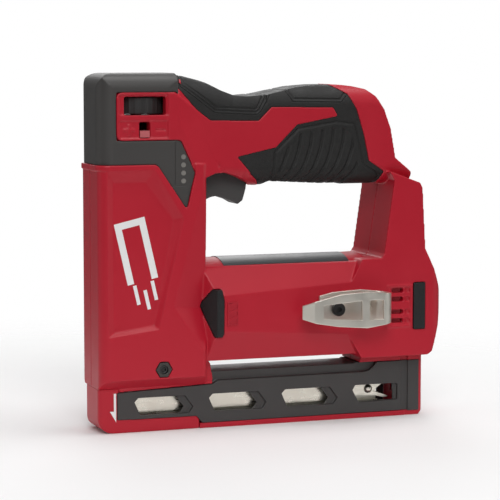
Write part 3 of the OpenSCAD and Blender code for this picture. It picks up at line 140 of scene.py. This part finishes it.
def layFloor(s):
    half = s["floorHalf"]
    corners = [(-half, -half), (half, -half), (half, half), (-half, half)]
    mesh = bpy.data.meshes.new("floor")
    mesh.from_pydata([(x, y, -s["floorDrop"] * mm) for x, y in corners], [], [(0, 1, 2, 3)])
    floor = bpy.data.objects.new("floor", mesh)
    bpy.context.scene.collection.objects.link(floor)
    return floor


def setLights(s):
    for name, place, size, watts in s["lights"]:
        data = bpy.data.lights.new(name, "AREA")
        data.shape, data.size, data.energy = "DISK", size, watts
        lamp = bpy.data.objects.new(name, data)
        lamp.location = place
        towards = Vector(s["aim"]) - Vector(place)
        lamp.rotation_euler = towards.to_track_quat("-Z", "Y").to_euler()
        bpy.context.scene.collection.objects.link(lamp)


floor = layFloor(studio)
setRoom(studio)
bpy.context.scene.view_settings.view_transform = "Standard"
setLights(studio)
print("studio set")


class Wire:
    # one output socket; sums and products of it add their Math nodes
    def __init__(self, sheet, socket):
        self.sheet, self.socket = sheet, socket

    def reckon(self, kind, a, b):
        return self.sheet.add("ShaderNodeMath", {"operation": kind}, {0: a, 1: b})

    def __add__(self, other):
        return self.reckon("ADD", self, other)

    def __radd__(self, other):
        return self.reckon("ADD", other, self)

    def __mul__(self, other):
        return self.reckon("MULTIPLY", self, other)

    def __rmul__(self, other):
        return self.reckon("MULTIPLY", other, self)


class Sheet:
    # the node tree of one material, with its Principled shader
    def __init__(self, name, **constants):
        self.material = bpy.data.materials.new(name)
        self.material.use_nodes = True
        self.tree = self.material.node_tree
        self.shader = self.tree.nodes["Principled BSDF"]
        for key, value in constants.items():
            self.shader.inputs[socketNames[key]].default_value = value
        self.place = self.add("ShaderNodeTexCoord", {}, {}, "Object")

    def add(self, kind, settings, sockets, out=0):
        node = self.tree.nodes.new(kind)
        for key, value in settings.items():
            setattr(node, key, value)
        for key, value in sockets.items():
            if isinstance(value, Wire):
                self.tree.links.new(value.socket, node.inputs[key])
            else:
                node.inputs[key].default_value = value
        return Wire(self, node.outputs[out])

    def feed(self, **wires):
        for key, wire in wires.items():
            self.tree.links.new(wire.socket, self.shader.inputs[socketNames[key]])
        return self.material

    def grain(self, size, detail=2.0, rough=0.5, stretch=(1, 1, 1)):
        # noise with features of about size millimetres, from 0 to 1
        where = self.add("ShaderNodeMapping", {}, {"Vector": self.place, "Scale": stretch})
        return self.add("ShaderNodeTexNoise", {}, {
            "Vector": where, "Scale": 1 / (size * mm), "Detail": detail, "Roughness": rough})

    def cells(self, size):
        # how far each point is from the edge of its cell
        return self.add("ShaderNodeTexVoronoi", {"feature": "DISTANCE_TO_EDGE"}, {
            "Vector": self.place, "Scale": 1 / (size * mm)})

    def axes(self):
        # the place in millimetres, as three wires
        parts = self.tree.nodes.new("ShaderNodeSeparateXYZ")
        self.tree.links.new(self.place.socket, parts.inputs[0])
        return [Wire(self, part) * (1 / mm) for part in parts.outputs]

    def blend(self, factor, a, b):
        # two colours mixed by factor
        return self.add("ShaderNodeMix", {"data_type": "RGBA"}, {
            0: factor, mixFirst: a, mixSecond: b}, mixResult)

    def bump(self, height, depth, under=None):
        sockets = {"Height": height, "Distance": depth * mm, "Strength": 1.0}
        if under:
            sockets["Normal"] = under
        return self.add("ShaderNodeBump", {}, sockets)

    def between(self, wire, low, high, a=0.0, b=1.0):
        return self.add("ShaderNodeMapRange", {"interpolation_type": "SMOOTHSTEP"}, {
            "Value": wire, "From Min": low, "From Max": high, "To Min": a, "To Max": b})


socketNames = {
    "colour": "Base Color", "roughness": "Roughness", "metallic": "Metallic", "coat": "Coat Weight",
    "coatRoughness": "Coat Roughness", "specular": "Specular IOR Level", "normal": "Normal",
    "alpha": "Alpha",
}


def times(colour, k):
    return (*(min(1.0, c * k) for c in colour[:3]), 1.0)


def mouldedPlastic(name, colour, roughness, grainSize, grainDepth, specular=0.5, vary=0.12):
    # spark-eroded mould texture: fine pits, slow tone drift, and a slight gloss drift
    s = Sheet(name, specular=specular)
    pits = s.grain(grainSize, 3.0, 0.6)
    drift = s.grain(26.0, 2.0)
    tone = s.blend(drift * 0.7 + pits * 0.3, times(colour, 1 - vary), times(colour, 1 + vary))
    shine = s.between(drift * 0.6 + pits * 0.4, 0.2, 0.8, roughness - 0.06, roughness + 0.07)
    return s.feed(colour=tone, roughness=shine, normal=s.bump(pits, grainDepth))


def softRubber(name, colour, roughness, cell, depth):
    # overmould with a leathery net of fine cells, its grooves painted darker as shade and its
    # raised cell tops painted lighter
    s = Sheet(name, specular=0.35)
    net = s.cells(cell)
    cellHeightAndPaintedShade = s.between(net, 0.02, 0.22)
    dust = s.grain(9.0, 3.0)
    # painted shade and light: the net's low grooves are darkened and its raised tops lightened,
    # over a random dust tone
    tone = s.blend(cellHeightAndPaintedShade * 0.6 + dust * 0.4, times(colour, 0.7), times(colour, 1.25))
    shine = s.between(dust, 0.3, 0.7, roughness - 0.05, roughness + 0.08)
    fine = s.bump(s.grain(0.35, 2.0), depth * 0.3)
    return s.feed(colour=tone, roughness=shine, normal=s.bump(cellHeightAndPaintedShade, depth, fine))


def brushedMetal(name, colour, roughness, along=(0.04, 1, 1), scratch=0.35, spots=0.1):
    # drawn or brushed steel: long fine lines along one axis and faint stains
    s = Sheet(name, metallic=1.0)
    lines = s.grain(scratch, 4.0, 0.6, along)
    stain = s.grain(7.0, 4.0, 0.6)
    tone = s.blend(stain * 0.6 + lines * 0.4, times(colour, 1 - spots), times(colour, 1 + spots))
    shine = s.between(lines * 0.5 + stain * 0.5, 0.3, 0.7, roughness - 0.07, roughness + 0.1)
    return s.feed(colour=tone, roughness=shine, normal=s.bump(lines, 0.004))


def castMetal(name, colour, roughness):
    s = Sheet(name, metallic=0.9)
    pits = s.grain(0.9, 5.0, 0.65)
    stain = s.grain(8.0, 3.0)
    tone = s.blend(stain, times(colour, 0.8), times(colour, 1.15))
    shine = s.between(pits, 0.3, 0.7, roughness - 0.08, roughness + 0.1)
    return s.feed(colour=tone, roughness=shine, normal=s.bump(pits, 0.06))


def powderCoat(name, colour, roughness):
    # satin powder coat with a slight orange peel
    s = Sheet(name, specular=0.5, coat=0.15, coatRoughness=0.35)
    peel = s.grain(1.1, 2.0, 0.5)
    dust = s.grain(14.0, 3.0)
    tone = s.blend(dust, times(colour, 0.85), times(colour, 1.15))
    shine = s.between(dust * 0.5 + peel * 0.5, 0.3, 0.7, roughness - 0.05, roughness + 0.07)
    return s.feed(colour=tone, roughness=shine, normal=s.bump(peel, 0.03))


red = rgb(0.44, 0.006, 0.021)
warmGrey = rgb(0.044, 0.041, 0.039)
softBlack = rgb(0.014, 0.0135, 0.013)

finishes = {
    "housing": mouldedPlastic("redPlastic", red, 0.42, 0.55, 0.02, 0.4, 0.05),
    "head_cover": mouldedPlastic("capPlastic", warmGrey, 0.5, 0.5, 0.035, 0.5, 0.08),
    "gauge": mouldedPlastic("gaugePlastic", times(warmGrey, 1.1), 0.42, 0.9, 0.01, 0.5, 0.05),
    "lights": mouldedPlastic("lightWindows", rgb(0.2, 0.19, 0.175), 0.35, 1.2, 0.008, 0.5, 0.08),
    "soft_grip": softRubber("softGrip", softBlack, 0.55, 1.1, 0.05),
    "bumper": softRubber("blackRubber", rgb(0.012, 0.012, 0.013), 0.5, 0.9, 0.03),
    "hook_steel": brushedMetal("hookSteel", rgb(0.74, 0.71, 0.64), 0.38, (0.06, 1, 1), 0.5, 0.05),
    "dark_screw": brushedMetal("blackOxide", rgb(0.06, 0.06, 0.06), 0.4, (1, 1, 1), 0.6, 0.25),
    "nut_steel": brushedMetal("darkNut", rgb(0.09, 0.085, 0.08), 0.38, (1, 1, 1), 0.5, 0.25),
    "brass_insert": brushedMetal("turnedBrass", rgb(0.72, 0.5, 0.2), 0.28, (1, 0.1, 1), 0.4, 0.12),
    "label": mouldedPlastic("labelFoil", rgb(0.03, 0.034, 0.038), 0.35, 1.5, 0.006, 0.5, 0.1),
    "badge": mouldedPlastic("badgePrint", times(red, 0.92), 0.35, 1.5, 0.006, 0.5, 0.1),
    "print_white": mouldedPlastic("whitePrint", rgb(0.82, 0.82, 0.82), 0.5, 0.8, 0.006, 0.4, 0.03),
    "magazine_black": powderCoat("magazineCoat", rgb(0.036, 0.033, 0.032), 0.42),
    "rail_steel": brushedMetal("railSteel", rgb(0.86, 0.83, 0.73), 0.3, (0.05, 1, 1), 0.9, 0.05),
    "cast_block": castMetal("castAlloy", rgb(0.42, 0.42, 0.42), 0.5),
    "rod_steel": brushedMetal("groundSteel", rgb(0.6, 0.6, 0.6), 0.2, (1, 1, 0.05)),
    "motor_steel": brushedMetal("drawnSteel", rgb(0.4, 0.4, 0.41), 0.35, (0.05, 1, 1)),
    "magnet": castMetal("ferrite", rgb(0.06, 0.06, 0.065), 0.6),
    "inner_plastic": mouldedPlastic("innerPlastic", rgb(0.02, 0.02, 0.02), 0.5, 0.7, 0.02),
    "board": mouldedPlastic("boardLacquer", rgb(0.015, 0.13, 0.05), 0.3, 1.2, 0.01),
    "trigger_black": mouldedPlastic("triggerPlastic", rgb(0.05, 0.049, 0.048), 0.46, 0.6, 0.02),
    "wheel_black": mouldedPlastic("wheelPlastic", rgb(0.026, 0.025, 0.025), 0.4, 0.6, 0.015),
    "spring_steel": brushedMetal("springWire", rgb(0.5, 0.5, 0.5), 0.28, (1, 1, 0.3)),
    "indicator": mouldedPlastic("paleRed", rgb(0.5, 0.12, 0.13), 0.35, 1.0, 0.01),
}


def paperFloor(name, colour, near, far):
    # white paper that thins out into the backdrop away from the object
    s = Sheet(name, specular=0.2)
    x, y, _ = s.axes()
    reach = s.add("ShaderNodeMath", {"operation": "SQRT"}, {0: x * x + y * y})
    fibre = s.grain(0.8, 3.0)
    tone = s.blend(fibre, times(colour, 0.98), times(colour, 1.02))
    shine = s.between(fibre, 0.0, 1.0, 0.75, 0.85)
    seen = s.between(reach, near, far, 1.0, 0.0)
    return s.feed(colour=tone, roughness=shine, alpha=seen, normal=s.bump(fibre, 0.01))


finishes["floor"] = paperFloor("studioFloor", rgb(0.9, 0.9, 0.9), 160.0, 520.0)
floor.data.materials.append(finishes["floor"])

slotOf = {part["node"]: part["material_slot"] for part in frame["record"]["subparts"]}
bodies = frame["record"]["behaviour"]["bodies"]
bodyOf = {node: body for body, nodes in bodies.items() for node in nodes}
for node, thing in frame["nodes"].items():
    thing.data.materials.clear()
    thing.data.materials.append(finishes[slotOf[node]])
print("finishes made")


softening = {"weld": 0.002, "factor": 0.6}


def bareMesh(node):
    # a welded copy of a CAD node's mesh
    shape = bmesh.new()
    shape.from_mesh(frame["nodes"][node].data)
    bmesh.ops.remove_doubles(shape, verts=shape.verts, dist=softening["weld"] * mm)
    mesh = bpy.data.meshes.new(node + "Shell")
    shape.to_mesh(mesh)
    shape.free()
    return mesh


def setPoints(mesh, points):
    mesh.vertices.foreach_set("co", points.astype(np.float32).ravel())
    mesh.update()


def getPoints(mesh):
    points = np.zeros(len(mesh.vertices) * 3, np.float32)
    mesh.vertices.foreach_get("co", points)
    return points.reshape(-1, 3).astype(float)


def getNormals(mesh):
    normals = np.zeros(len(mesh.vertices) * 3, np.float32)
    mesh.vertex_normals.foreach_get("vector", normals)
    return normals.reshape(-1, 3).astype(float)


def baked(thing):
    # the object's mesh with its modifiers applied
    graph = bpy.context.evaluated_depsgraph_get()
    mesh = bpy.data.meshes.new_from_object(thing.evaluated_get(graph))
    thing.modifiers.clear()
    thing.data = mesh
    return thing


def softCopy(node, voxel, passes, keep, sculpt):
    # a CAD node remeshed and smoothed, so that its edges are moulded round
    thing = bpy.data.objects.new(node + "_moulded", bareMesh(node))
    bpy.context.scene.collection.objects.link(thing)
    remesh = thing.modifiers.new("remesh", "REMESH")
    remesh.mode, remesh.voxel_size = "VOXEL", voxel * mm
    smooth = thing.modifiers.new("smooth", "SMOOTH")
    smooth.factor, smooth.iterations = softening["factor"], passes
    baked(thing)
    if sculpt:
        points = getPoints(thing.data) / mm
        normals = getNormals(thing.data)
        setPoints(thing.data, sculpt(points, normals) * mm)
    thin = thing.modifiers.new("thin", "DECIMATE")
    thin.ratio = keep
    baked(thing)
    thing.data.polygons.foreach_set("use_smooth", [True] * len(thing.data.polygons))
    thing.data.materials.clear()
    thing.data.materials.append(finishes[slotOf[node]])
    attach(thing, bodyOf[node])
    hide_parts(node)
    return thing


def edgeDistance(x, z, outline):
    # distance to a closed outline, positive inside it
    inside = np.zeros(len(x), bool)
    nearest = np.full(len(x), 1e9)
    for (ax, az), (bx, bz) in zip(outline, outline[1:] + outline[:1]):
        dx, dz = bx - ax, bz - az
        along = np.clip(((x - ax) * dx + (z - az) * dz) / (dx * dx + dz * dz), 0, 1)
        nearest = np.minimum(nearest, np.hypot(x - ax - along * dx, z - az - along * dz))
        crosses = (az > z) != (bz > z)
        inside ^= crosses & (x < ax + (z - az) * dx / (dz if dz else 1e-9))
    return np.where(inside, nearest, -nearest)


def groove(distance, width):
    # 1 at the middle of a groove, falling to 0 beyond its width
    return np.exp(-(distance / (width / 2)) ** 2)


def sunk(points, normals, depth):
    # points pushed inwards along their normals, never outwards
    return points - normals * np.clip(depth, 0, None)[:, None]


sideGrip = {
    "zone": [
        (92.7, 154.6), (106.9, 168.0), (130.1, 171.6), (140.8, 170.4), (142.2, 166.0),
        (146.3, 147.6), (156.8, 140.6), (153.1, 120.0), (90.3, 120.0)],
    "borderWidth": 1.3, "borderDepth": 0.7,
    "ribStart": 95.5, "ribPitch": 6.5, "ribCount": 9, "ribWidth": 1.7, "ribDepth": 1.0,
    "ribTop": 168.0, "sweep": 0.011, "inset": 2.4, "fade": 1.5, "pillow": 0.25,
    # where the side turns under the grip, how far the turn reaches, and the ribs' extra lean there
    "side": 9.0, "turn": 9.0, "tuck": 4.0,
}


def sculptGrip(points, normals):
    # a ribbed zone with a groove round it; the ribs lean forwards as they run under the grip
    g = sideGrip
    x, y, z = points.T
    inner = edgeDistance(x, z, g["zone"])
    wrap = np.clip((g["side"] + g["turn"] - np.abs(y)) / g["turn"], 0, 1)
    depth = g["borderDepth"] * groove(inner, g["borderWidth"])
    drop = np.clip(g["ribTop"] - z, 0, None) + wrap * g["tuck"]
    lean = x + g["sweep"] * drop ** 2
    phase = (lean - g["ribStart"]) / g["ribPitch"]
    count = np.round(phase)
    away = (phase - count) * g["ribPitch"]
    allowed = (count >= 0) & (count < g["ribCount"])
    fade = np.clip((inner - g["inset"]) / g["fade"], 0, 1) * allowed
    ribs = g["ribDepth"] * groove(away, g["ribWidth"]) + g["pillow"] * np.abs(away) / g["ribPitch"]
    return sunk(points, normals, depth + fade * ribs)


saddlePad = {
    "outline": [
        (35.8, 210.0), (35.8, 196.5), (37.4, 191.9), (56.9, 177.4), (81.8, 176.0),
        (84.0, 177.4), (90.3, 187.4), (96.0, 190.5), (96.0, 210.0)],
    "lines": (1.5, 3.2), "width": 0.9, "depth": 0.55, "top": 4.0,
}


def sculptSaddle(points, normals):
    # two fine grooves that follow the pad's lower edge
    g = saddlePad
    x, y, z = points.T
    inner = edgeDistance(x, z, g["outline"])
    depth = sum(g["depth"] * groove(inner - line, g["width"]) for line in g["lines"])
    return sunk(points, normals, depth * (np.abs(y) > g["top"]))


crestPad = {
    "outline": [
        (100.0, 205.0), (100.0, 188.6), (103.5, 183.1), (133.0, 182.5), (137.8, 187.8),
        (137.8, 205.0)],
    "line": 1.7, "width": 1.0, "depth": 0.5,
}


def sculptCrest(points, normals):
    # one fine groove inside the pad's edge
    g = crestPad
    x, _, z = points.T
    inner = edgeDistance(x, z, g["outline"])
    return sunk(points, normals, g["depth"] * groove(inner - g["line"], g["width"]))


moulded = {
    # node: voxel, smoothing passes, share of faces kept, sculpting
    "left_housing": (0.5, 2, 0.3, None),
    "right_housing": (0.5, 2, 0.3, None),
    "head_cover": (0.35, 4, 0.4, None),
    "grip_saddle": (0.3, 3, 0.5, sculptSaddle),
    "crest_pad": (0.3, 3, 0.5, sculptCrest),
    "nose_guard": (0.35, 3, 0.4, None),
    "magazine_frame": (0.35, 2, 0.4, None),
    "magazine_drawer": (0.4, 3, 0.4, None),
    "drawer_inlays": (0.2, 2, 0.4, None),
    "left_grip": (0.28, 3, 0.6, sculptGrip),
    "right_grip": (0.28, 3, 0.6, sculptGrip),
    "trigger": (0.3, 6, 0.5, None),
    "belt_hook": (0.2, 3, 0.5, None),
    "depth_wheel": (0.25, 2, 0.5, None),
    "front_bumpers": (0.25, 3, 0.5, None),
    "rear_bumpers": (0.25, 3, 0.5, None),
    "nose_nut": (0.12, 2, 0.6, None),
    "nose_bolt": (0.15, 2, 0.6, None),
    "belt_hook_screw": (0.12, 2, 0.6, None),
}
for node, (voxel, passes, keep, sculpt) in moulded.items():
    softCopy(node, voxel, passes, keep, sculpt)
    print("moulded", node)
